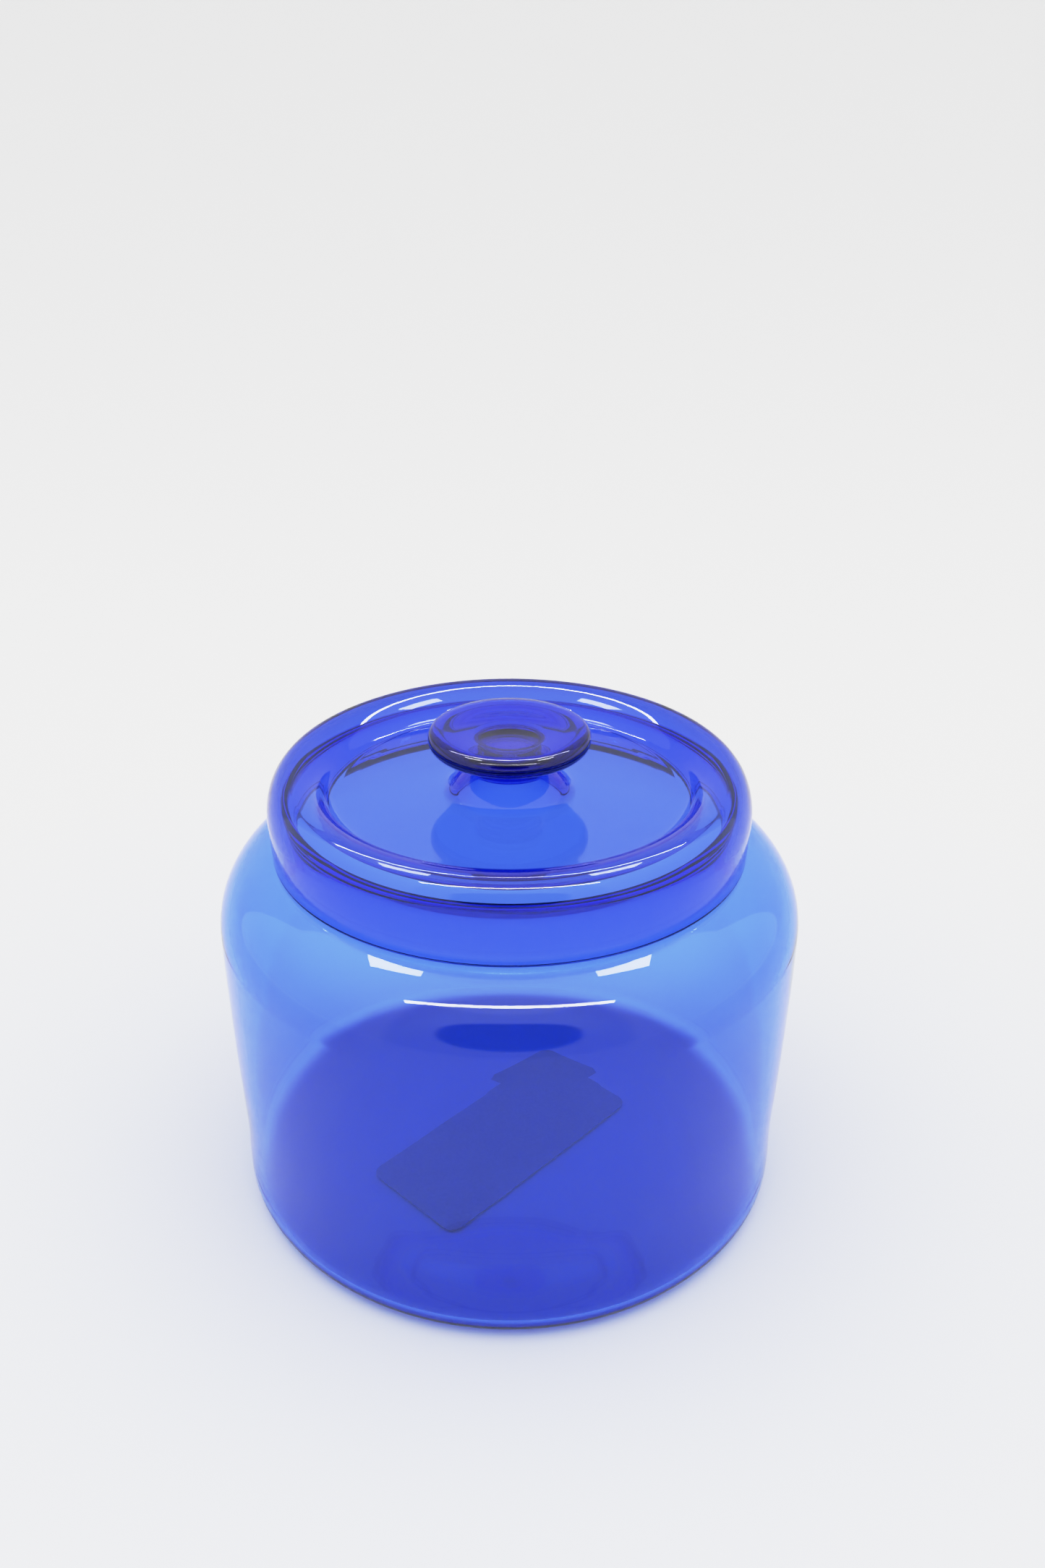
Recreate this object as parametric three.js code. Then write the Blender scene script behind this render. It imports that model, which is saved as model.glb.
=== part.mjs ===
// Squat blown-glass storage jar with a drop-over glass lid and a disc knob.
// Millimetres, +Z up. The origin is the middle of the foot, on the surface that the jar stands on.
// Every glass piece is a solid of revolution about Z, so each one is a closed profile
// in the (radius, height) half-plane.
import * as THREE from 'three';

// ---- Driving dimensions ----
const TURN_STEPS = 60;
const FIT_GAP = 0.3;

// Jar: base and wall
const FOOT_INNER_RADIUS = 76;
const FOOT_OUTER_RADIUS = 81.7;
const HEEL_RADIUS = 8;
const KICK_HEIGHT = 1.6;
const KICK_RADIUS = 58;
const BASE_THICKNESS = 3;
const WALL_THICKNESS = 2.6;
const WALL_BOTTOM_RADIUS = FOOT_OUTER_RADIUS + HEEL_RADIUS;
const WALL_FOOT_RADIUS = 89.5;
const WALL_FOOT_HEIGHT = 24;
const WALL_MIDDLE_RADIUS = 90.6;
const WALL_MIDDLE = 52;
const WALL_TOP_RADIUS = 91.3;
const WALL_TOP = 80;

// Jar: shoulder
const SWELL_RADIUS = 91.4;
const SHOULDER_BASE = 98;
const SHOULDER_CENTRE_RADIUS = 64.6;
const SHOULDER_RISE = 24.4;

// Jar: neck
const NECK_OUTER_RADIUS = 69.8;
const NECK_INNER_RADIUS = 66.9;
const RIM_HEIGHT = 138.1;
const RIM_BEVEL = 0.4;
const NECK_FILLET = 1.0;
const THROAT_FILLET = 4.2;
const THROAT_HEIGHT = 122.9;
const THROAT_LEDGE = 1.0;

// Lid: skirt, rounded crown, sunken plate and central dome
const LID_THICKNESS = 3.0;
const SKIRT_BOTTOM = 122.0;
const SKIRT_BOTTOM_RADIUS = 73.7;
const SKIRT_TAPER = 0.4;
const CROWN_RADIUS = 67;
const CROWN_HALF_WIDTH = 7.3;
const CROWN_BASE = 135;
const CROWN_RISE = 11.5;
const BEAD_RADIUS = 12.5;
const BEAD_HEIGHT = CROWN_BASE + CROWN_RISE - BEAD_RADIUS;
const PLATE_CORNER_RADIUS = 4;
const PLATE_TOP = 138.43;
const DOME_CENTRE_HEIGHT = 124;
const DOME_RADIUS = 24;
const DOME_HOLLOW_RADIUS = 19.5;
const DOME_FOOT_FILLET = 5;

// Knob: solid stem and dished disc
const STEM_RADIUS = 9.5;
const STEM_FILLET = 2.6;
const DISC_UNDERSIDE = 152.5;
const DISC_RADIUS = 24.9;
const DISC_EDGE_DEPTH = 2.6;
const DISC_EDGE_HALF_HEIGHT = 3;
const DISC_EDGE_HEIGHT = 155.5;
const DISH_DEPTH = 1.7;
const DISH_STEPS = 4;

// Paper label under the foot
const LABEL_LENGTH = 88;
const LABEL_WIDTH = 40;
const LABEL_CORNER = 4;
const LABEL_THICKNESS = 0.4;
const LABEL_TURN_DEG = 46;
const LABEL_CENTRE = [-2, -3];

// ---- Profile helpers ----

function point(radius, height) {
  return new THREE.Vector2(radius, height);
}

// Points along an elliptical arc, from one angle to another, in degrees.
// 0 degrees points away from the axis and 90 degrees points up.
function arc(centreRadius, centreHeight, halfWidth, halfHeight, fromDeg, toDeg, steps) {
  const points = [];
  for (let i = 0; i <= steps; i += 1) {
    const angle = THREE.MathUtils.degToRad(fromDeg + ((toDeg - fromDeg) * i) / steps);
    const radius = centreRadius + halfWidth * Math.cos(angle);
    points.push(point(radius, centreHeight + halfHeight * Math.sin(angle)));
  }
  return points;
}

// The angle at which an ellipse's arc reaches a given distance from the axis.
function angleAtRadius(radius, centreRadius, halfWidth) {
  return THREE.MathUtils.radToDeg(Math.acos((radius - centreRadius) / halfWidth));
}

// The angle at which an ellipse's arc reaches a given height.
function angleAtHeight(height, centreHeight, halfHeight) {
  return THREE.MathUtils.radToDeg(Math.asin((height - centreHeight) / halfHeight));
}

// Turns a profile about Z. The profile runs so that the glass lies on its left.
function revolve(profile) {
  const geometry = new THREE.LatheGeometry(profile, TURN_STEPS);
  geometry.rotateX(Math.PI / 2);
  return geometry;
}

// A ring's profile closes on itself.
function closed(profile) {
  return [...profile, profile[0].clone()];
}

function makePiece(name, geometry, colour, roughness) {
  const material = new THREE.MeshStandardMaterial({ color: colour, roughness, metalness: 0 });
  const mesh = new THREE.Mesh(geometry, material);
  mesh.name = name;
  return mesh;
}

// ---- Jar ----
// The base, wall, shoulder and neck stand one above the other, cut level where they meet.

function makeJarPiece(name, profile) {
  return makePiece(name, revolve(profile), 0x2b5be6, 0.05);
}

// The push-up under the jar, from its flat middle down to the foot, raised by a given lift.
function pushUp(lift) {
  const steps = 4;
  const points = [];
  for (let i = 0; i <= steps; i += 1) {
    const along = i / steps;
    const rise = KICK_HEIGHT * (1 - THREE.MathUtils.smoothstep(along, 0, 1));
    points.push(point(THREE.MathUtils.lerp(KICK_RADIUS, FOOT_INNER_RADIUS, along), lift + rise));
  }
  return points;
}

// A dished plate with a rounded heel. The floor's corner runs parallel to the heel.
function makeBase() {
  const corner = HEEL_RADIUS - BASE_THICKNESS;
  const cornerCentreRadius = WALL_BOTTOM_RADIUS - WALL_THICKNESS - corner;
  return makeJarPiece('jar_base', [
    point(0, KICK_HEIGHT),
    ...pushUp(0),
    ...arc(FOOT_OUTER_RADIUS, HEEL_RADIUS, HEEL_RADIUS, HEEL_RADIUS, -90, 0, 5),
    ...arc(cornerCentreRadius, HEEL_RADIUS, corner, corner, 0, -90, 4),
    ...pushUp(BASE_THICKNESS).reverse(),
    point(0, BASE_THICKNESS + KICK_HEIGHT),
  ]);
}

// One side of the nearly straight wall, which widens a little towards the shoulder.
function wallSide(inset) {
  return [
    point(WALL_BOTTOM_RADIUS - inset, HEEL_RADIUS + FIT_GAP),
    point(WALL_FOOT_RADIUS - inset, WALL_FOOT_HEIGHT),
    point(WALL_MIDDLE_RADIUS - inset, WALL_MIDDLE),
    point(WALL_TOP_RADIUS - inset, WALL_TOP),
    point(SWELL_RADIUS - inset, SHOULDER_BASE - FIT_GAP),
  ];
}

function makeWall() {
  return makeJarPiece('jar_wall', closed([...wallSide(0), ...wallSide(WALL_THICKNESS).reverse()]));
}

// A quarter-ellipse ring that turns up into the first of the neck.
function makeShoulder() {
  const width = SWELL_RADIUS - SHOULDER_CENTRE_RADIUS;
  const innerWidth = width - WALL_THICKNESS;
  const innerRise = SHOULDER_RISE - WALL_THICKNESS;
  const end = angleAtRadius(NECK_OUTER_RADIUS + NECK_FILLET, SHOULDER_CENTRE_RADIUS, width);
  const outside = arc(SHOULDER_CENTRE_RADIUS, SHOULDER_BASE, width, SHOULDER_RISE, 0, end, 8);
  const neckFoot = outside[outside.length - 1].y + NECK_FILLET;
  const throatRadius = NECK_INNER_RADIUS + THROAT_FILLET;
  const ledge = angleAtRadius(throatRadius + THROAT_LEDGE, SHOULDER_CENTRE_RADIUS, innerWidth);
  return makeJarPiece('jar_shoulder', closed([
    ...outside,
    point(NECK_OUTER_RADIUS, neckFoot),
    point(NECK_OUTER_RADIUS, THROAT_HEIGHT),
    ...arc(throatRadius, THROAT_HEIGHT, THROAT_FILLET, THROAT_FILLET, 180, 270, 3),
    ...arc(SHOULDER_CENTRE_RADIUS, SHOULDER_BASE, innerWidth, innerRise, ledge, 0, 6),
  ]));
}

function makeNeck() {
  const bottom = THROAT_HEIGHT + FIT_GAP;
  return makeJarPiece('jar_neck', closed([
    point(NECK_OUTER_RADIUS, bottom),
    point(NECK_OUTER_RADIUS, RIM_HEIGHT - RIM_BEVEL),
    point(NECK_OUTER_RADIUS - RIM_BEVEL, RIM_HEIGHT),
    point(NECK_INNER_RADIUS + RIM_BEVEL, RIM_HEIGHT),
    point(NECK_INNER_RADIUS, RIM_HEIGHT - RIM_BEVEL),
    point(NECK_INNER_RADIUS, bottom),
  ]));
}

// ---- Lid ----

// The angle at which the bead's arc meets the corner of the sunken plate.
function beadEnd() {
  const cornerHeight = PLATE_TOP + PLATE_CORNER_RADIUS;
  return 180 - angleAtHeight(cornerHeight, BEAD_HEIGHT, BEAD_RADIUS + PLATE_CORNER_RADIUS);
}

// The distance from the axis to the centre of the corner between the bead and the plate.
function cornerCentre() {
  const reach = BEAD_RADIUS + PLATE_CORNER_RADIUS;
  return CROWN_RADIUS + reach * Math.cos(THREE.MathUtils.degToRad(beadEnd()));
}

// The centre of the fillet between a dome and a plate, and the angle where it meets the dome.
function domeFoot(plateHeight, domeRadius, fillet) {
  const height = plateHeight + fillet;
  const lift = height - DOME_CENTRE_HEIGHT;
  const radius = Math.sqrt((domeRadius + fillet) ** 2 - lift ** 2);
  return { radius, height, angle: THREE.MathUtils.radToDeg(Math.atan2(lift, radius)) };
}

// From the axis, along the underside, to the bottom of the skirt's inner wall.
function lidUnderside() {
  const hollow = DOME_HOLLOW_RADIUS;
  const fillet = DOME_FOOT_FILLET + LID_THICKNESS;
  const foot = domeFoot(PLATE_TOP - LID_THICKNESS, hollow, fillet);
  const cornerRadius = PLATE_CORNER_RADIUS + LID_THICKNESS;
  const cornerHeight = PLATE_TOP + PLATE_CORNER_RADIUS;
  return [
    ...arc(0, DOME_CENTRE_HEIGHT, hollow, hollow, 90, foot.angle, 4),
    ...arc(foot.radius, foot.height, fillet, fillet, foot.angle - 180, -90, 4).slice(1),
    ...arc(
      cornerCentre(), cornerHeight, cornerRadius, cornerRadius, -90, beadEnd() - 180, 3,
    ),
    ...arc(
      CROWN_RADIUS, BEAD_HEIGHT, BEAD_RADIUS - LID_THICKNESS, BEAD_RADIUS - LID_THICKNESS,
      beadEnd(), 90, 4,
    ).slice(1),
    ...arc(
      CROWN_RADIUS, CROWN_BASE, CROWN_HALF_WIDTH - LID_THICKNESS, CROWN_RISE - LID_THICKNESS,
      90, 0, 4,
    ).slice(1),
    point(SKIRT_BOTTOM_RADIUS - LID_THICKNESS + SKIRT_TAPER, SKIRT_BOTTOM),
  ];
}

// From the bottom of the skirt, over the crown, to the seat of the knob's stem.
function lidTop() {
  const foot = domeFoot(PLATE_TOP, DOME_RADIUS, DOME_FOOT_FILLET);
  const domeEnd = angleAtRadius(STEM_RADIUS, 0, DOME_RADIUS);
  return [
    point(SKIRT_BOTTOM_RADIUS, SKIRT_BOTTOM),
    ...arc(CROWN_RADIUS, CROWN_BASE, CROWN_HALF_WIDTH, CROWN_RISE, 0, 90, 6),
    ...arc(CROWN_RADIUS, BEAD_HEIGHT, BEAD_RADIUS, BEAD_RADIUS, 90, beadEnd(), 4).slice(1),
    ...arc(
      cornerCentre(), PLATE_TOP + PLATE_CORNER_RADIUS, PLATE_CORNER_RADIUS, PLATE_CORNER_RADIUS,
      beadEnd() - 180, -90, 3,
    ).slice(1),
    ...arc(
      foot.radius, foot.height, DOME_FOOT_FILLET, DOME_FOOT_FILLET, -90, foot.angle - 180, 4,
    ),
    ...arc(0, DOME_CENTRE_HEIGHT, DOME_RADIUS, DOME_RADIUS, foot.angle, domeEnd, 3).slice(1),
    point(0, stemSeat()),
  ];
}

// Height of the small flat circle on the dome that the knob's stem stands on.
function stemSeat() {
  return DOME_CENTRE_HEIGHT + Math.sqrt(DOME_RADIUS ** 2 - STEM_RADIUS ** 2);
}

function makeLid() {
  return makePiece('lid_cover', revolve([...lidUnderside(), ...lidTop()]), 0x2a52dc, 0.05);
}

// ---- Knob ----

// The shallow dish in the top of the disc, from its rim to the axis.
function dish() {
  const edgeCentre = DISC_RADIUS - DISC_EDGE_DEPTH;
  const edgeTop = DISC_EDGE_HEIGHT + DISC_EDGE_HALF_HEIGHT;
  const points = [];
  for (let i = 1; i <= DISH_STEPS; i += 1) {
    const inwards = i / DISH_STEPS;
    const drop = DISH_DEPTH * THREE.MathUtils.smoothstep(inwards, 0, 1);
    points.push(point(edgeCentre * (1 - inwards), edgeTop - drop));
  }
  return points;
}

function makeKnob() {
  const stemFoot = stemSeat() + FIT_GAP;
  const edgeCentre = DISC_RADIUS - DISC_EDGE_DEPTH;
  const profile = [
    point(0, stemFoot),
    point(STEM_RADIUS, stemFoot),
    ...arc(
      STEM_RADIUS + STEM_FILLET, DISC_UNDERSIDE - STEM_FILLET, STEM_FILLET, STEM_FILLET,
      180, 90, 3,
    ),
    ...arc(edgeCentre, DISC_EDGE_HEIGHT, DISC_EDGE_DEPTH, DISC_EDGE_HALF_HEIGHT, -90, 90, 6),
    ...dish(),
  ];
  return makePiece('lid_knob', revolve(profile), 0x1a2390, 0.05);
}

// ---- Label ----

function makeLabel() {
  const shape = new THREE.Shape();
  const halfLength = LABEL_LENGTH / 2 - LABEL_CORNER;
  const halfWidth = LABEL_WIDTH / 2 - LABEL_CORNER;
  const quarter = Math.PI / 2;
  shape.absarc(halfLength, halfWidth, LABEL_CORNER, 0, quarter);
  shape.absarc(-halfLength, halfWidth, LABEL_CORNER, quarter, 2 * quarter);
  shape.absarc(-halfLength, -halfWidth, LABEL_CORNER, 2 * quarter, 3 * quarter);
  shape.absarc(halfLength, -halfWidth, LABEL_CORNER, 3 * quarter, 4 * quarter);
  const geometry = new THREE.ExtrudeGeometry(shape, {
    depth: LABEL_THICKNESS,
    bevelEnabled: false,
    curveSegments: 3,
  });
  const label = makePiece('base_label', geometry, 0x6b5a48, 0.8);
  label.rotation.z = THREE.MathUtils.degToRad(LABEL_TURN_DEG);
  label.position.set(LABEL_CENTRE[0], LABEL_CENTRE[1], KICK_HEIGHT - FIT_GAP - LABEL_THICKNESS);
  return label;
}

// ---- Assembly ----

const jar = new THREE.Group();
jar.add(makeBase());
jar.add(makeWall());
jar.add(makeShoulder());
jar.add(makeNeck());
jar.add(makeLabel());

const lid = new THREE.Group();
lid.add(makeLid());
lid.add(makeKnob());

const assembly = new THREE.Group();
assembly.add(jar);
assembly.add(lid);

export default assembly;
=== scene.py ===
"""Looks for a squat blue glass storage jar with a drop-over glass lid and a disc knob.

Lengths in the profiles are in millimetres, (distance from the axis, height), in the part's own frame.
"""
import math

import bmesh
import bpy
from mathutils import Euler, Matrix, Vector, noise


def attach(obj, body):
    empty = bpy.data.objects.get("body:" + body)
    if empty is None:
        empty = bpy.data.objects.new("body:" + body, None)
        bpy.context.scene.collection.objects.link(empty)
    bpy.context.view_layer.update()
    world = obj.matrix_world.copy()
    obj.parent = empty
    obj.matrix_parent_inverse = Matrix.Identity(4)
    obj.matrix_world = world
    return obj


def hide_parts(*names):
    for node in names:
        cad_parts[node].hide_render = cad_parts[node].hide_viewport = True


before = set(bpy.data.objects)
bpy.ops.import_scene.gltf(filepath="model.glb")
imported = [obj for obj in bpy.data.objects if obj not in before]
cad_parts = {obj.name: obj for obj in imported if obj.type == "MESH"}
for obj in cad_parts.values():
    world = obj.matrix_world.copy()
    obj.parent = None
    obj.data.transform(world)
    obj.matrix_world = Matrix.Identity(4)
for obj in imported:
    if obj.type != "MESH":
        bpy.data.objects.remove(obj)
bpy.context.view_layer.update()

MM = 0.001

# ---- How fine the turned glass is ----
TURN_STEPS = 240
POINT_SPACING = 1.6
STRAIGHT_SPACING = 2.2 * POINT_SPACING
SAME_POINT = 1e-4
ARC_STEPS_MIN = 5
WALL_STEPS = 24
KICK_STEPS = 10
DISH_STEPS = 13

# ---- Jar body, millimetres ----
FOOT_INNER_RADIUS = 76.0
FOOT_OUTER_RADIUS = 81.7
HEEL_RADIUS = 8.0
KICK_HEIGHT = 1.6
KICK_RADIUS = 58.0
WALL_FOOT_RADIUS = 89.5
WALL_FOOT_HEIGHT = 24.0
WALL_MIDDLE_RADIUS = 90.6
WALL_MIDDLE = 52.0
WALL_TOP_RADIUS = 91.3
WALL_TOP = 80.0
SWELL_RADIUS = 91.4
SHOULDER_BASE = 98.0
SHOULDER_CENTRE_RADIUS = 64.6
SHOULDER_RISE = 24.4
WALL_THICKNESS = 2.6
BASE_THICKNESS = 3.0
FLOOR_CORNER_RADIUS = 5.0
FLOOR_CORNER_CLEARANCE = 1.0
NECK_OUTER_RADIUS = 69.8
NECK_INNER_RADIUS = 66.9
RIM_HEIGHT = 138.1
RIM_BEVEL = 0.4
NECK_FILLET = 1.0
THROAT_FILLET = 4.2
THROAT_HEIGHT = 122.9
THROAT_LEDGE = 1.0

# ---- Lid and knob, millimetres ----
LID_THICKNESS = 3.0
SKIRT_BOTTOM = 122.0
SKIRT_BOTTOM_RADIUS = 73.7
SKIRT_EDGE = 0.5
SKIRT_TAPER = 0.4
CROWN_RADIUS = 67.0
CROWN_HALF_WIDTH = 7.3
CROWN_BASE = 135.0
CROWN_RISE = 11.5
BEAD_RADIUS = 12.5
BEAD_HEIGHT = CROWN_BASE + CROWN_RISE - BEAD_RADIUS
PLATE_CORNER_RADIUS = 4.0
PLATE_TOP = 138.43
DOME_CENTRE_HEIGHT = 124.0
DOME_RADIUS = 24.0
DOME_HOLLOW_RADIUS = 19.5
DOME_FOOT_FILLET = 5.0
STEM_RADIUS = 9.5
STEM_FILLET = 2.6
STEM_FLARE = 0.45 * STEM_FILLET
STEM_START_DEG = 190
DISC_UNDERSIDE = 152.5
DISC_RADIUS = 24.9
DISC_EDGE_DEPTH = 2.6
DISC_EDGE_HALF_HEIGHT = 3.0
DISC_EDGE_HEIGHT = 155.5
DISC_EDGE_END_DEG = 75
DISH_DEPTH = 1.7

# ---- Camera, millimetres and degrees ----
CAMERA_BACK = 367.7
CAMERA_HEIGHT = 325.9
CAMERA_DOWN_DEG = 26.9
CAMERA_LENS = 30.72
CAMERA_SHIFT_X = 0.0083

# ---- Tone: (light in the scene, brightness shown) ----
TONE_WHITE = 4.0
TONE_TOP = 1.0
TONE_POINTS = [(0.08, 0.075), (0.2, 0.21), (0.45, 0.60), (0.7, 0.80), (0.95, 0.88), (1.4, 0.935)]

# ---- Stage, metres ----
FLOOR_GAP = 0.3 * MM
SWEEP_HALF_WIDTH = 2.0
SWEEP_FRONT = -1.6
BEND_START = 0.75
BEND_RADIUS = 0.5
BEND_STEP_DEG = 6
BACKDROP_HEIGHT = 2.2
# Painted blue shade: near the jar the floor colour is painted blue in place of the shadow the blue
# glass casts. It fades to the plain floor colour between the two reaches, measured from the middle of
# the stage.
SWEEP_PAINTED_BLUE_SHADE = (0.80, 0.83, 0.92)
SWEEP_FAR = (0.86, 0.86, 0.86)
PAINTED_SHADE_REACH = 0.10
PAINTED_SHADE_FADE_END = 0.34
SWEEP_ROUGHNESS = 0.9

# ---- Lamps, metres and watts ----
LAMP_HEIGHT = 0.80
LAMP_TARGET = (0, 0, 0.10)
STRIP_OFFSET = 0.42
STRIP_SIZE = (0.94, 0.045)
STRIP_POWER = 2.4
PANEL_OFFSET = 0.29
PANEL_BACK = 0.10
PANEL_SIZE = (0.17, 0.16)
PANEL_POWER = 0.8

# ---- Light tent; an edge is where a change of light starts and ends ----
TENT_STRENGTH = 1.26
OPENING_HALF_WIDTH_DEG = 27.0
OPENING_HALF_HEIGHT_DEG = 18.0
OPENING_CENTRE_DEG = 25.5
OPENING_SQUARENESS = 2.5
OPENING_EDGE = (0.9, 1.1)
OPENING_LIGHT = 0.06
FLAP_EDGE = (1.55, 1.75)
FLAP_LIGHT = 0.72
OVERHEAD_EDGE = (0.2, 1.0)
OVERHEAD_LIGHT = (0.85, 1.1)

# ---- Glass; unevenness in millimetres ----
GLASS_IOR = 1.52
JAR_ABSORB_PER_MM = (0.30, 0.180, 0.0004)
LID_ABSORB_PER_MM = (0.43, 0.29, 0.030)
JAR_WOBBLE_DEPTH = 0.12
JAR_WOBBLE_SIZE = 34
JAR_WOBBLE_SEED = 3.1
JAR_SWIRL_SCALE = 18
LID_WOBBLE_DEPTH = 0.10
LID_WOBBLE_SIZE = 26
LID_WOBBLE_SEED = 8.7
LID_SWIRL_SCALE = 24
WOBBLE_FULL_RADIUS = 20
SWIRL_DETAIL = 2
SWIRL_STRENGTH = 0.05
SWIRL_DEPTH = 0.001
GREASE_SCALE = 60
GREASE_DETAIL = 4
GREASE_EDGE = (0.55, 0.8)
GREASE_ROUGHNESS = 0.05

# ---- Label paper ----
FIBRE_SCALE = 900
FIBRE_DETAIL = 6
PAPER_DARK = (0.36, 0.36, 0.46)
PAPER_LIGHT = (0.48, 0.48, 0.60)
PAPER_ROUGHNESS = 0.8


# ---- Profiles ----

def arc(centre_r, centre_z, half_r, half_z, start_deg, end_deg):
    """Points on an elliptical arc; 0 degrees points away from the axis and 90 points up."""
    sweep = math.radians(end_deg - start_deg)
    length = abs(sweep) * max(half_r, half_z)
    steps = max(ARC_STEPS_MIN, int(length / POINT_SPACING) + 1)
    start = math.radians(start_deg)
    angles = [start + sweep * i / steps for i in range(steps + 1)]
    return [(centre_r + half_r * math.cos(a), centre_z + half_z * math.sin(a)) for a in angles]


def angle_at_radius(radius, centre_r, half_r):
    return math.degrees(math.acos((radius - centre_r) / half_r))


def angle_at_height(height, centre_z, half_z):
    return math.degrees(math.asin((height - centre_z) / half_z))


def ease(t):
    """Goes from 0 to 1 with level ends."""
    return t * t * (3 - 2 * t)


def filled(points):
    """Adds points along the straight stretches, so that the whole profile is evenly fine."""
    result = [points[0]]
    for (r0, z0), (r1, z1) in zip(points, points[1:]):
        length = math.hypot(r1 - r0, z1 - z0)
        if length < SAME_POINT:
            continue
        steps = max(1, int(length / STRAIGHT_SPACING))
        result += [(r0 + (r1 - r0) * i / steps, z0 + (z1 - z0) * i / steps)
                   for i in range(1, steps + 1)]
    return result


def smooth_curve(stations, steps):
    """Points on a smooth curve through a few (radius, height) stations, evenly spaced in height."""
    points = []
    tangents = []
    for k in range(len(stations)):
        r0, z0 = stations[max(0, k - 1)]
        r1, z1 = stations[min(len(stations) - 1, k + 1)]
        tangents.append((r1 - r0) / (z1 - z0))
    tangents[0] = tangents[-1] = 0.0
    for i in range(1, steps):
        z = stations[0][1] + (stations[-1][1] - stations[0][1]) * i / steps
        k = max(j for j in range(len(stations) - 1) if stations[j][1] <= z)
        (r0, z0), (r1, z1) = stations[k], stations[k + 1]
        h = z1 - z0
        t = (z - z0) / h
        r = (r0 * ease(1 - t) + r1 * ease(t)
             + h * t * (1 - t) * (tangents[k] * (1 - t) - tangents[k + 1] * t))
        points.append((r, z))
    return points


def wall_outside():
    """The nearly straight wall, which widens a little towards the shoulder."""
    return smooth_curve([(FOOT_OUTER_RADIUS + HEEL_RADIUS, HEEL_RADIUS),
                         (WALL_FOOT_RADIUS, WALL_FOOT_HEIGHT), (WALL_MIDDLE_RADIUS, WALL_MIDDLE),
                         (WALL_TOP_RADIUS, WALL_TOP), (SWELL_RADIUS, SHOULDER_BASE)], WALL_STEPS)


def push_up(lift):
    """The underside's gentle rise from the foot to its flat middle, raised by lift."""
    width = FOOT_INNER_RADIUS - KICK_RADIUS
    points = []
    for i in range(KICK_STEPS + 1):
        t = i / KICK_STEPS
        points.append((KICK_RADIUS + width * t, lift + KICK_HEIGHT * (1 - ease(t))))
    return points


def jar_profile():
    shoulder_width = SWELL_RADIUS - SHOULDER_CENTRE_RADIUS
    fillet_foot = NECK_OUTER_RADIUS + NECK_FILLET
    shoulder_end = angle_at_radius(fillet_foot, SHOULDER_CENTRE_RADIUS, shoulder_width)
    shoulder = arc(SHOULDER_CENTRE_RADIUS, SHOULDER_BASE, shoulder_width, SHOULDER_RISE,
                   0, shoulder_end)
    neck_foot = shoulder[-1][1] + NECK_FILLET
    throat_r = NECK_INNER_RADIUS + THROAT_FILLET
    inner_width = shoulder_width - WALL_THICKNESS
    inner_start = angle_at_radius(throat_r + THROAT_LEDGE, SHOULDER_CENTRE_RADIUS, inner_width)
    corner_top = BASE_THICKNESS + FLOOR_CORNER_RADIUS
    wall_end = corner_top + FLOOR_CORNER_CLEARANCE
    wall = [(r - WALL_THICKNESS, z) for r, z in reversed(wall_outside()) if z > wall_end]
    corner = wall[-1][0] - FLOOR_CORNER_RADIUS
    outside = [(0, KICK_HEIGHT)] + push_up(0)
    outside += arc(FOOT_OUTER_RADIUS, HEEL_RADIUS, HEEL_RADIUS, HEEL_RADIUS, -90, 0)
    outside += wall_outside() + shoulder
    outside += arc(fillet_foot, neck_foot, NECK_FILLET, NECK_FILLET, 270, 180)[1:]
    outside += [(NECK_OUTER_RADIUS, RIM_HEIGHT - RIM_BEVEL),
                (NECK_OUTER_RADIUS - RIM_BEVEL, RIM_HEIGHT)]
    inside = [(NECK_INNER_RADIUS + RIM_BEVEL, RIM_HEIGHT),
              (NECK_INNER_RADIUS, RIM_HEIGHT - RIM_BEVEL)]
    inside += arc(throat_r, THROAT_HEIGHT, THROAT_FILLET, THROAT_FILLET, 180, 270)
    inside += arc(SHOULDER_CENTRE_RADIUS, SHOULDER_BASE, inner_width,
                  SHOULDER_RISE - WALL_THICKNESS, inner_start, 0)
    inside += wall
    inside += arc(corner, corner_top, FLOOR_CORNER_RADIUS, FLOOR_CORNER_RADIUS, 0, -90)
    inside += push_up(BASE_THICKNESS)[-2::-1] + [(0, BASE_THICKNESS + KICK_HEIGHT)]
    return filled(outside + inside)


def bead_end():
    """The angle at which the bead's arc meets the corner of the sunken plate."""
    reach = BEAD_RADIUS + PLATE_CORNER_RADIUS
    return 180 - angle_at_height(PLATE_TOP + PLATE_CORNER_RADIUS, BEAD_HEIGHT, reach)


def corner_centre():
    reach = BEAD_RADIUS + PLATE_CORNER_RADIUS
    return CROWN_RADIUS + reach * math.cos(math.radians(bead_end()))


def dome_foot(plate_z, dome_r, fillet):
    """Centre (radius, height) of the curve between dome and plate, and the angle where they join."""
    height = plate_z + fillet
    lift = height - DOME_CENTRE_HEIGHT
    radius = math.sqrt((dome_r + fillet) ** 2 - lift ** 2)
    return radius, height, math.degrees(math.atan2(lift, radius))


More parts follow.
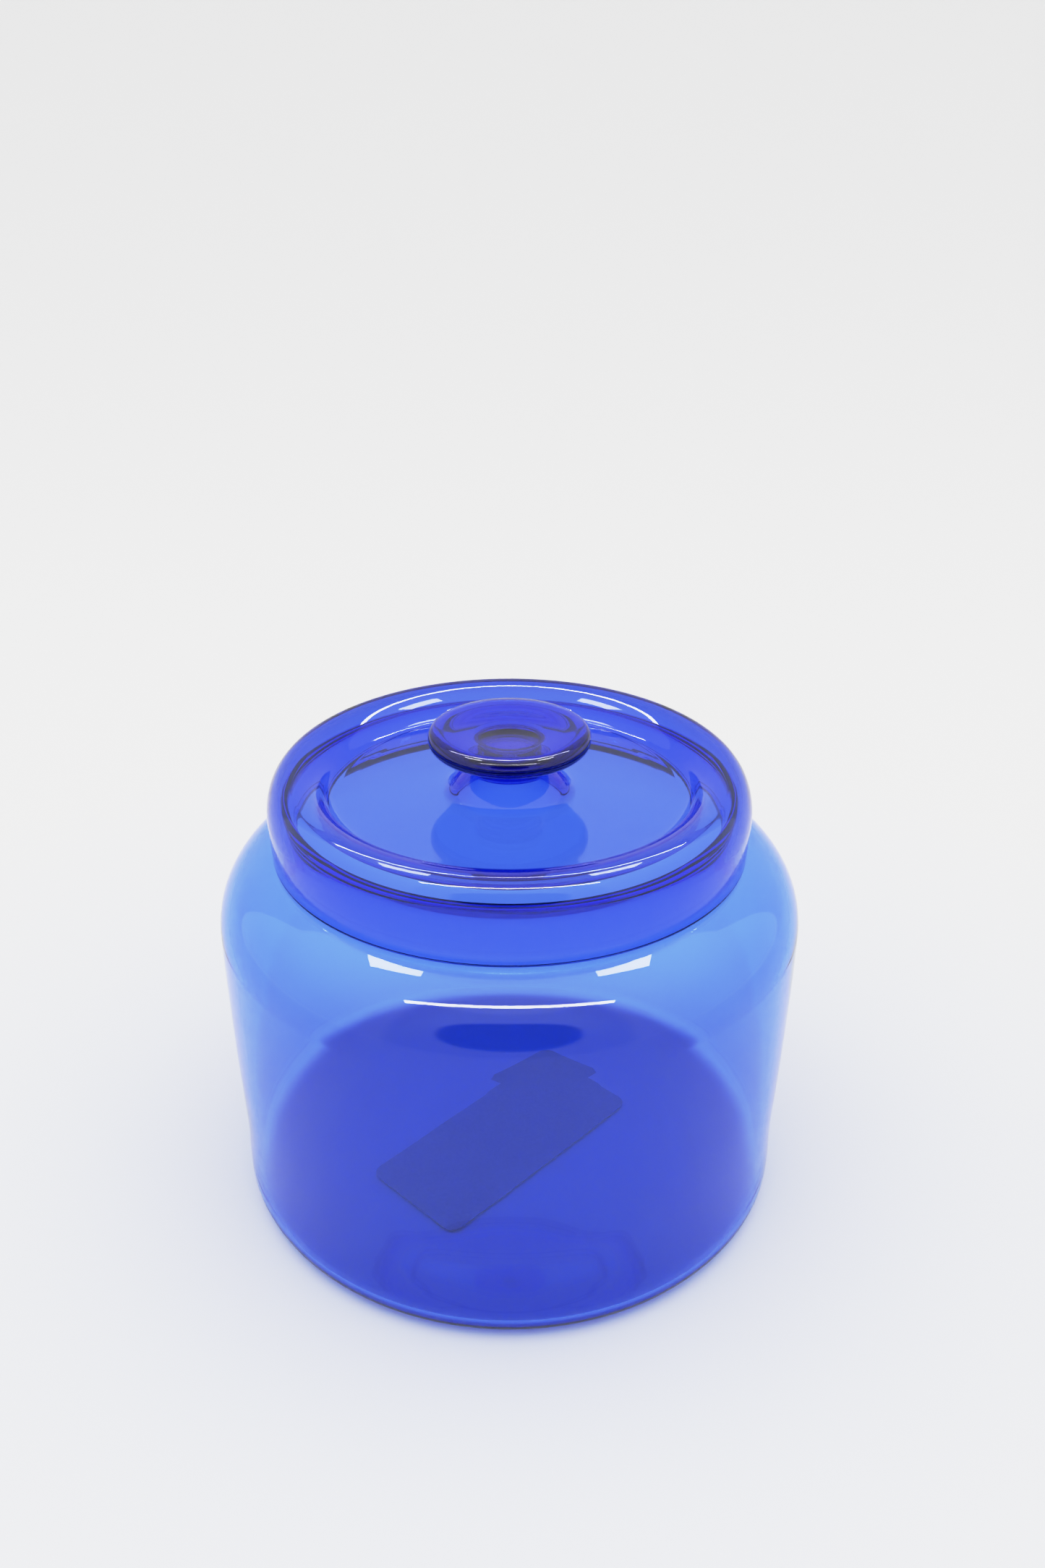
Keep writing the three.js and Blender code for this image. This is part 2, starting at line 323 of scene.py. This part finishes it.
def lid_underside():
    """From the axis, along the underside, to the inner edge of the skirt's bottom."""
    under = PLATE_TOP - LID_THICKNESS
    corner_r = PLATE_CORNER_RADIUS + LID_THICKNESS
    inner = BEAD_RADIUS - LID_THICKNESS
    fillet = DOME_FOOT_FILLET + LID_THICKNESS
    hollow = DOME_HOLLOW_RADIUS
    foot_r, foot_z, foot_deg = dome_foot(under, hollow, fillet)
    points = arc(0, DOME_CENTRE_HEIGHT, hollow, hollow, 90, foot_deg)
    points += arc(foot_r, foot_z, fillet, fillet, foot_deg - 180, -90)[1:]
    points += arc(corner_centre(), under + corner_r, corner_r, corner_r, -90, bead_end() - 180)
    points += arc(CROWN_RADIUS, BEAD_HEIGHT, inner, inner, bead_end(), 90)[1:]
    points += arc(CROWN_RADIUS, CROWN_BASE, CROWN_HALF_WIDTH - LID_THICKNESS,
                  CROWN_RISE - LID_THICKNESS, 90, 0)[1:]
    skirt_inner = SKIRT_BOTTOM_RADIUS - LID_THICKNESS + SKIRT_TAPER
    points += [(skirt_inner, SKIRT_BOTTOM + SKIRT_EDGE)]
    points += arc(skirt_inner + SKIRT_EDGE, SKIRT_BOTTOM + SKIRT_EDGE, SKIRT_EDGE, SKIRT_EDGE,
                  180, 270)[1:]
    return points


def lid_top():
    """From the skirt's bottom, over the crown and the sunken plate, to the middle of the knob."""
    fillet_r, fillet_z, foot_deg = dome_foot(PLATE_TOP, DOME_RADIUS, DOME_FOOT_FILLET)
    join_r = STEM_RADIUS + STEM_FLARE
    dome_end = angle_at_radius(join_r, 0, DOME_RADIUS)
    edge_r = DISC_RADIUS - DISC_EDGE_DEPTH
    edge_top = DISC_EDGE_HEIGHT + DISC_EDGE_HALF_HEIGHT
    points = arc(SKIRT_BOTTOM_RADIUS - SKIRT_EDGE, SKIRT_BOTTOM + SKIRT_EDGE,
                 SKIRT_EDGE, SKIRT_EDGE, -90, 0)
    points += arc(CROWN_RADIUS, CROWN_BASE, CROWN_HALF_WIDTH, CROWN_RISE, 0, 90)
    points += arc(CROWN_RADIUS, BEAD_HEIGHT, BEAD_RADIUS, BEAD_RADIUS, 90, bead_end())[1:]
    points += arc(corner_centre(), PLATE_TOP + PLATE_CORNER_RADIUS, PLATE_CORNER_RADIUS,
                  PLATE_CORNER_RADIUS, bead_end() - 180, -90)[1:]
    points += arc(fillet_r, fillet_z, DOME_FOOT_FILLET, DOME_FOOT_FILLET, -90, foot_deg - 180)
    points += arc(0, DOME_CENTRE_HEIGHT, DOME_RADIUS, DOME_RADIUS, foot_deg, dome_end)[1:]
    points += arc(STEM_RADIUS + STEM_FILLET, DISC_UNDERSIDE - STEM_FILLET,
                  STEM_FILLET, STEM_FILLET, STEM_START_DEG, 90)
    points += arc(edge_r, DISC_EDGE_HEIGHT, DISC_EDGE_DEPTH, DISC_EDGE_HALF_HEIGHT,
                  -90, DISC_EDGE_END_DEG)
    for i in range(1, DISH_STEPS + 1):
        t = 1 - i / DISH_STEPS
        points.append((edge_r * t, edge_top - DISH_DEPTH * (1 - ease(t))))
    return points


def lid_profile():
    return filled(lid_underside() + lid_top())


# ---- Turning a profile into glass ----

def wobble(x, y, z, size, seed):
    """Smooth unevenness from 0 to 1, for glass that was shaped by hand."""
    place = Vector((x / size + seed, y / size - seed, z / size))
    return 0.5 + 0.5 * noise.noise(place)


def turned_mesh(name, profile, depth, size, seed):
    """Revolves a profile that starts and ends on the axis; depth is the unevenness in millimetres."""
    bm = bmesh.new()
    rings = []
    for r, z in profile[1:-1]:
        ring = []
        for k in range(TURN_STEPS):
            a = 2 * math.pi * k / TURN_STEPS
            x = r * math.cos(a)
            y = r * math.sin(a)
            inward = depth * wobble(x, y, z, size, seed) * min(1, r / WOBBLE_FULL_RADIUS)
            s = (r - inward) / r
            ring.append(bm.verts.new((x * s * MM, y * s * MM, z * MM)))
        rings.append(ring)
    for low, high in zip(rings, rings[1:]):
        for k in range(TURN_STEPS):
            n = (k + 1) % TURN_STEPS
            bm.faces.new((low[k], low[n], high[n], high[k]))
    for ring, (r, z), flip in ((rings[0], profile[0], False), (rings[-1], profile[-1], True)):
        pole = bm.verts.new((0, 0, z * MM))
        for k in range(TURN_STEPS):
            n = (k + 1) % TURN_STEPS
            corners = (ring[k], ring[n], pole) if flip else (ring[n], ring[k], pole)
            bm.faces.new(corners)
    bmesh.ops.recalc_face_normals(bm, faces=bm.faces)
    mesh = bpy.data.meshes.new(name)
    bm.to_mesh(mesh)
    bm.free()
    mesh.shade_smooth()
    piece = bpy.data.objects.new(name, mesh)
    bpy.context.scene.collection.objects.link(piece)
    return piece


# ---- Materials ----

def node(tree, kind, **values):
    made = tree.nodes.new(kind)
    for key, value in values.items():
        setattr(made, key, value)
    return made


def step_up(tree, value, edge, levels, kind="SMOOTHSTEP"):
    """A step between two levels as the value crosses the edge, smooth unless kind says otherwise."""
    made = node(tree, "ShaderNodeMapRange", interpolation_type=kind)
    for name, number in zip(("From Min", "From Max", "To Min", "To Max"), (*edge, *levels)):
        made.inputs[name].default_value = number
    tree.links.new(value, made.inputs["Value"])
    return made.outputs["Result"]


def new_material(name):
    material = bpy.data.materials.new(name)
    material.use_nodes = True
    return material, material.node_tree, material.node_tree.nodes["Principled BSDF"]


def object_noise(tree, scale, detail):
    """Noise that stays fixed to the piece."""
    coords = node(tree, "ShaderNodeTexCoord")
    made = node(tree, "ShaderNodeTexNoise")
    made.inputs["Scale"].default_value = scale
    made.inputs["Detail"].default_value = detail
    tree.links.new(coords.outputs["Object"], made.inputs["Vector"])
    return made.outputs["Fac"]


def blend(tree, value, first, second, start=0.0, end=1.0):
    """Goes from the first colour to the second as the value goes from start to end."""
    made = node(tree, "ShaderNodeValToRGB")
    for element, colour, place in zip(made.color_ramp.elements, (first, second), (start, end)):
        element.position = place
        element.color = (*colour, 1)
    tree.links.new(value, made.inputs["Fac"])
    return made.outputs["Color"]


def glass_material(name, absorb_per_mm, swirl_scale):
    """Clear glass whose colour comes from its thickness, with faint swirls and traces of grease."""
    material, tree, shader = new_material(name)
    shader.inputs["Base Color"].default_value = (1, 1, 1, 1)
    shader.inputs["Transmission Weight"].default_value = 1.0
    shader.inputs["IOR"].default_value = GLASS_IOR
    bump = node(tree, "ShaderNodeBump")
    bump.inputs["Strength"].default_value = SWIRL_STRENGTH
    bump.inputs["Distance"].default_value = SWIRL_DEPTH
    tree.links.new(object_noise(tree, swirl_scale, SWIRL_DETAIL), bump.inputs["Height"])
    tree.links.new(bump.outputs["Normal"], shader.inputs["Normal"])
    grease = object_noise(tree, GREASE_SCALE, GREASE_DETAIL)
    rough = step_up(tree, grease, GREASE_EDGE, (0.0, GREASE_ROUGHNESS), "LINEAR")
    tree.links.new(rough, shader.inputs["Roughness"])
    strongest = max(absorb_per_mm)
    volume = node(tree, "ShaderNodeVolumeAbsorption")
    volume.inputs["Color"].default_value = (*[1 - a / strongest for a in absorb_per_mm], 1)
    volume.inputs["Density"].default_value = strongest / MM
    tree.links.new(volume.outputs["Volume"], tree.nodes["Material Output"].inputs["Volume"])
    return material


def paper_material():
    material, tree, shader = new_material("label_paper")
    fibres = object_noise(tree, FIBRE_SCALE, FIBRE_DETAIL)
    tree.links.new(blend(tree, fibres, PAPER_DARK, PAPER_LIGHT), shader.inputs["Base Color"])
    shader.inputs["Roughness"].default_value = PAPER_ROUGHNESS
    return material


# ---- Pieces ----

def make_jar():
    piece = turned_mesh("jar_glass", jar_profile(), JAR_WOBBLE_DEPTH, JAR_WOBBLE_SIZE,
                        JAR_WOBBLE_SEED)
    piece.data.materials.append(glass_material("jar_blue_glass", JAR_ABSORB_PER_MM, JAR_SWIRL_SCALE))
    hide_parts("jar_base", "jar_wall", "jar_shoulder", "jar_neck")
    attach(piece, "jar")


def make_lid():
    piece = turned_mesh("lid_glass", lid_profile(), LID_WOBBLE_DEPTH, LID_WOBBLE_SIZE,
                        LID_WOBBLE_SEED)
    piece.data.materials.append(glass_material("lid_blue_glass", LID_ABSORB_PER_MM, LID_SWIRL_SCALE))
    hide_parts("lid_cover", "lid_knob")
    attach(piece, "lid")


def dress_label():
    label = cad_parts["base_label"]
    label.data.materials.clear()
    label.data.materials.append(paper_material())


# ---- Stage, light and camera ----

def sweep_material():
    """White paper with painted blue shade around the jar, standing in for the shadow of the blue
    glass.
    """
    material, tree, shader = new_material("sweep_paper")
    coords = node(tree, "ShaderNodeTexCoord")
    distance = node(tree, "ShaderNodeVectorMath", operation="LENGTH")
    tree.links.new(coords.outputs["Object"], distance.inputs[0])
    # Painted blue shade close to the jar, fading out to the plain white paper further away.
    colour = blend(tree, distance.outputs["Value"], SWEEP_PAINTED_BLUE_SHADE, SWEEP_FAR,
                   PAINTED_SHADE_REACH, PAINTED_SHADE_FADE_END)
    tree.links.new(colour, shader.inputs["Base Color"])
    shader.inputs["Roughness"].default_value = SWEEP_ROUGHNESS
    return material


def make_stage():
    """A white sweep: a floor that curves up into a backdrop."""
    rows = [(SWEEP_FRONT, -FLOOR_GAP), (BEND_START, -FLOOR_GAP)]
    for degrees in range(BEND_STEP_DEG, 91, BEND_STEP_DEG):
        angle = math.radians(degrees)
        rows.append((BEND_START + BEND_RADIUS * math.sin(angle),
                     BEND_RADIUS - BEND_RADIUS * math.cos(angle)))
    rows.append((BEND_START + BEND_RADIUS, BACKDROP_HEIGHT))
    bm = bmesh.new()
    sides = [[bm.verts.new((x, y, z)) for y, z in rows]
             for x in (-SWEEP_HALF_WIDTH, SWEEP_HALF_WIDTH)]
    for i in range(len(rows) - 1):
        bm.faces.new((sides[0][i], sides[1][i], sides[1][i + 1], sides[0][i + 1]))
    mesh = bpy.data.meshes.new("sweep")
    bm.to_mesh(mesh)
    bm.free()
    mesh.shade_smooth()
    sweep = bpy.data.objects.new("sweep", mesh)
    sweep.data.materials.append(sweep_material())
    bpy.context.scene.collection.objects.link(sweep)


def calc(tree, operation, *values):
    """A Math node; each value is a number or another node's output."""
    made = node(tree, "ShaderNodeMath", operation=operation)
    for socket, value in zip(made.inputs, values):
        if isinstance(value, (int, float)):
            socket.default_value = value
        else:
            tree.links.new(value, socket)
    return made.outputs["Value"]


def make_world():
    """The inside of a white light tent, with a darker opening at the front."""
    world = bpy.data.worlds.new("tent")
    world.use_nodes = True
    bpy.context.scene.world = world
    tree = world.node_tree
    background = tree.nodes["Background"]
    background.inputs["Color"].default_value = (1, 1, 1, 1)
    coords = node(tree, "ShaderNodeTexCoord")
    split = node(tree, "ShaderNodeSeparateXYZ")
    tree.links.new(coords.outputs["Generated"], split.inputs["Vector"])
    x, y, z = (split.outputs[axis] for axis in "XYZ")
    azimuth = calc(tree, "ARCTAN2", x, calc(tree, "MULTIPLY", y, -1.0))
    elevation = calc(tree, "ARCSINE", z)
    across = calc(tree, "DIVIDE", azimuth, math.radians(OPENING_HALF_WIDTH_DEG))
    up = calc(tree, "SUBTRACT", elevation, math.radians(OPENING_CENTRE_DEG))
    up = calc(tree, "DIVIDE", up, math.radians(OPENING_HALF_HEIGHT_DEG))
    across_power = calc(tree, "POWER", calc(tree, "ABSOLUTE", across), OPENING_SQUARENESS)
    up_power = calc(tree, "POWER", calc(tree, "ABSOLUTE", up), OPENING_SQUARENESS)
    distance = calc(tree, "SQRT", calc(tree, "ADD", across_power, up_power))
    hole = step_up(tree, distance, OPENING_EDGE, (OPENING_LIGHT, 1.0))
    flap = calc(tree, "MAXIMUM", calc(tree, "ABSOLUTE", across), calc(tree, "ABSOLUTE", up))
    flap = step_up(tree, flap, FLAP_EDGE, (FLAP_LIGHT, 1.0))
    overhead = step_up(tree, z, OVERHEAD_EDGE, OVERHEAD_LIGHT)
    light = calc(tree, "MULTIPLY", calc(tree, "MULTIPLY", hole, flap), overhead)
    tree.links.new(calc(tree, "MULTIPLY", light, TENT_STRENGTH), background.inputs["Strength"])


def area_light(name, place, size, power):
    """A lamp that shows only as a highlight: it adds no light to matt surfaces or through glass."""
    data = bpy.data.lights.new(name, "AREA")
    data.shape = "RECTANGLE"
    data.size, data.size_y = size
    data.energy = power
    lamp = bpy.data.objects.new(name, data)
    lamp.location = place
    lamp.visible_transmission = False
    lamp.visible_diffuse = False
    lamp.rotation_euler = (Vector(LAMP_TARGET) - Vector(place)).to_track_quat("-Z", "Y").to_euler()
    bpy.context.scene.collection.objects.link(lamp)


def make_lights():
    for name, side in (("front_strip", -1), ("back_strip", 1)):
        area_light(name, (0, side * STRIP_OFFSET, LAMP_HEIGHT), STRIP_SIZE, STRIP_POWER)
    for name, side in (("left_panel", -1), ("right_panel", 1)):
        area_light(name, (side * PANEL_OFFSET, PANEL_BACK, LAMP_HEIGHT), PANEL_SIZE, PANEL_POWER)


def make_camera():
    data = bpy.data.cameras.new("camera")
    data.lens = CAMERA_LENS
    data.shift_x = CAMERA_SHIFT_X
    camera = bpy.data.objects.new("camera", data)
    camera.location = (0, -CAMERA_BACK * MM, CAMERA_HEIGHT * MM)
    camera.rotation_euler = Euler((math.radians(90 - CAMERA_DOWN_DEG), 0, 0))
    bpy.context.scene.collection.objects.link(camera)
    bpy.context.scene.camera = camera


def set_light_paths():
    scene = bpy.context.scene
    scene.cycles.max_bounces = 24
    scene.cycles.transmission_bounces = 24
    scene.cycles.glossy_bounces = 12
    scene.cycles.diffuse_bounces = 6


def set_tone():
    """A camera-like shoulder: bright tones level off below white."""
    view = bpy.context.scene.view_settings
    view.view_transform = "Standard"
    view.use_curve_mapping = True
    mapping = view.curve_mapping
    mapping.white_level = (TONE_WHITE, TONE_WHITE, TONE_WHITE)
    curve = mapping.curves[3]
    curve.points[-1].location = (1.0, TONE_TOP)
    for light, shown in TONE_POINTS:
        curve.points.new(light / TONE_WHITE, shown)
    mapping.update()


make_camera()
make_stage()
make_world()
make_lights()
make_jar()
make_lid()
dress_label()
set_light_paths()
set_tone()
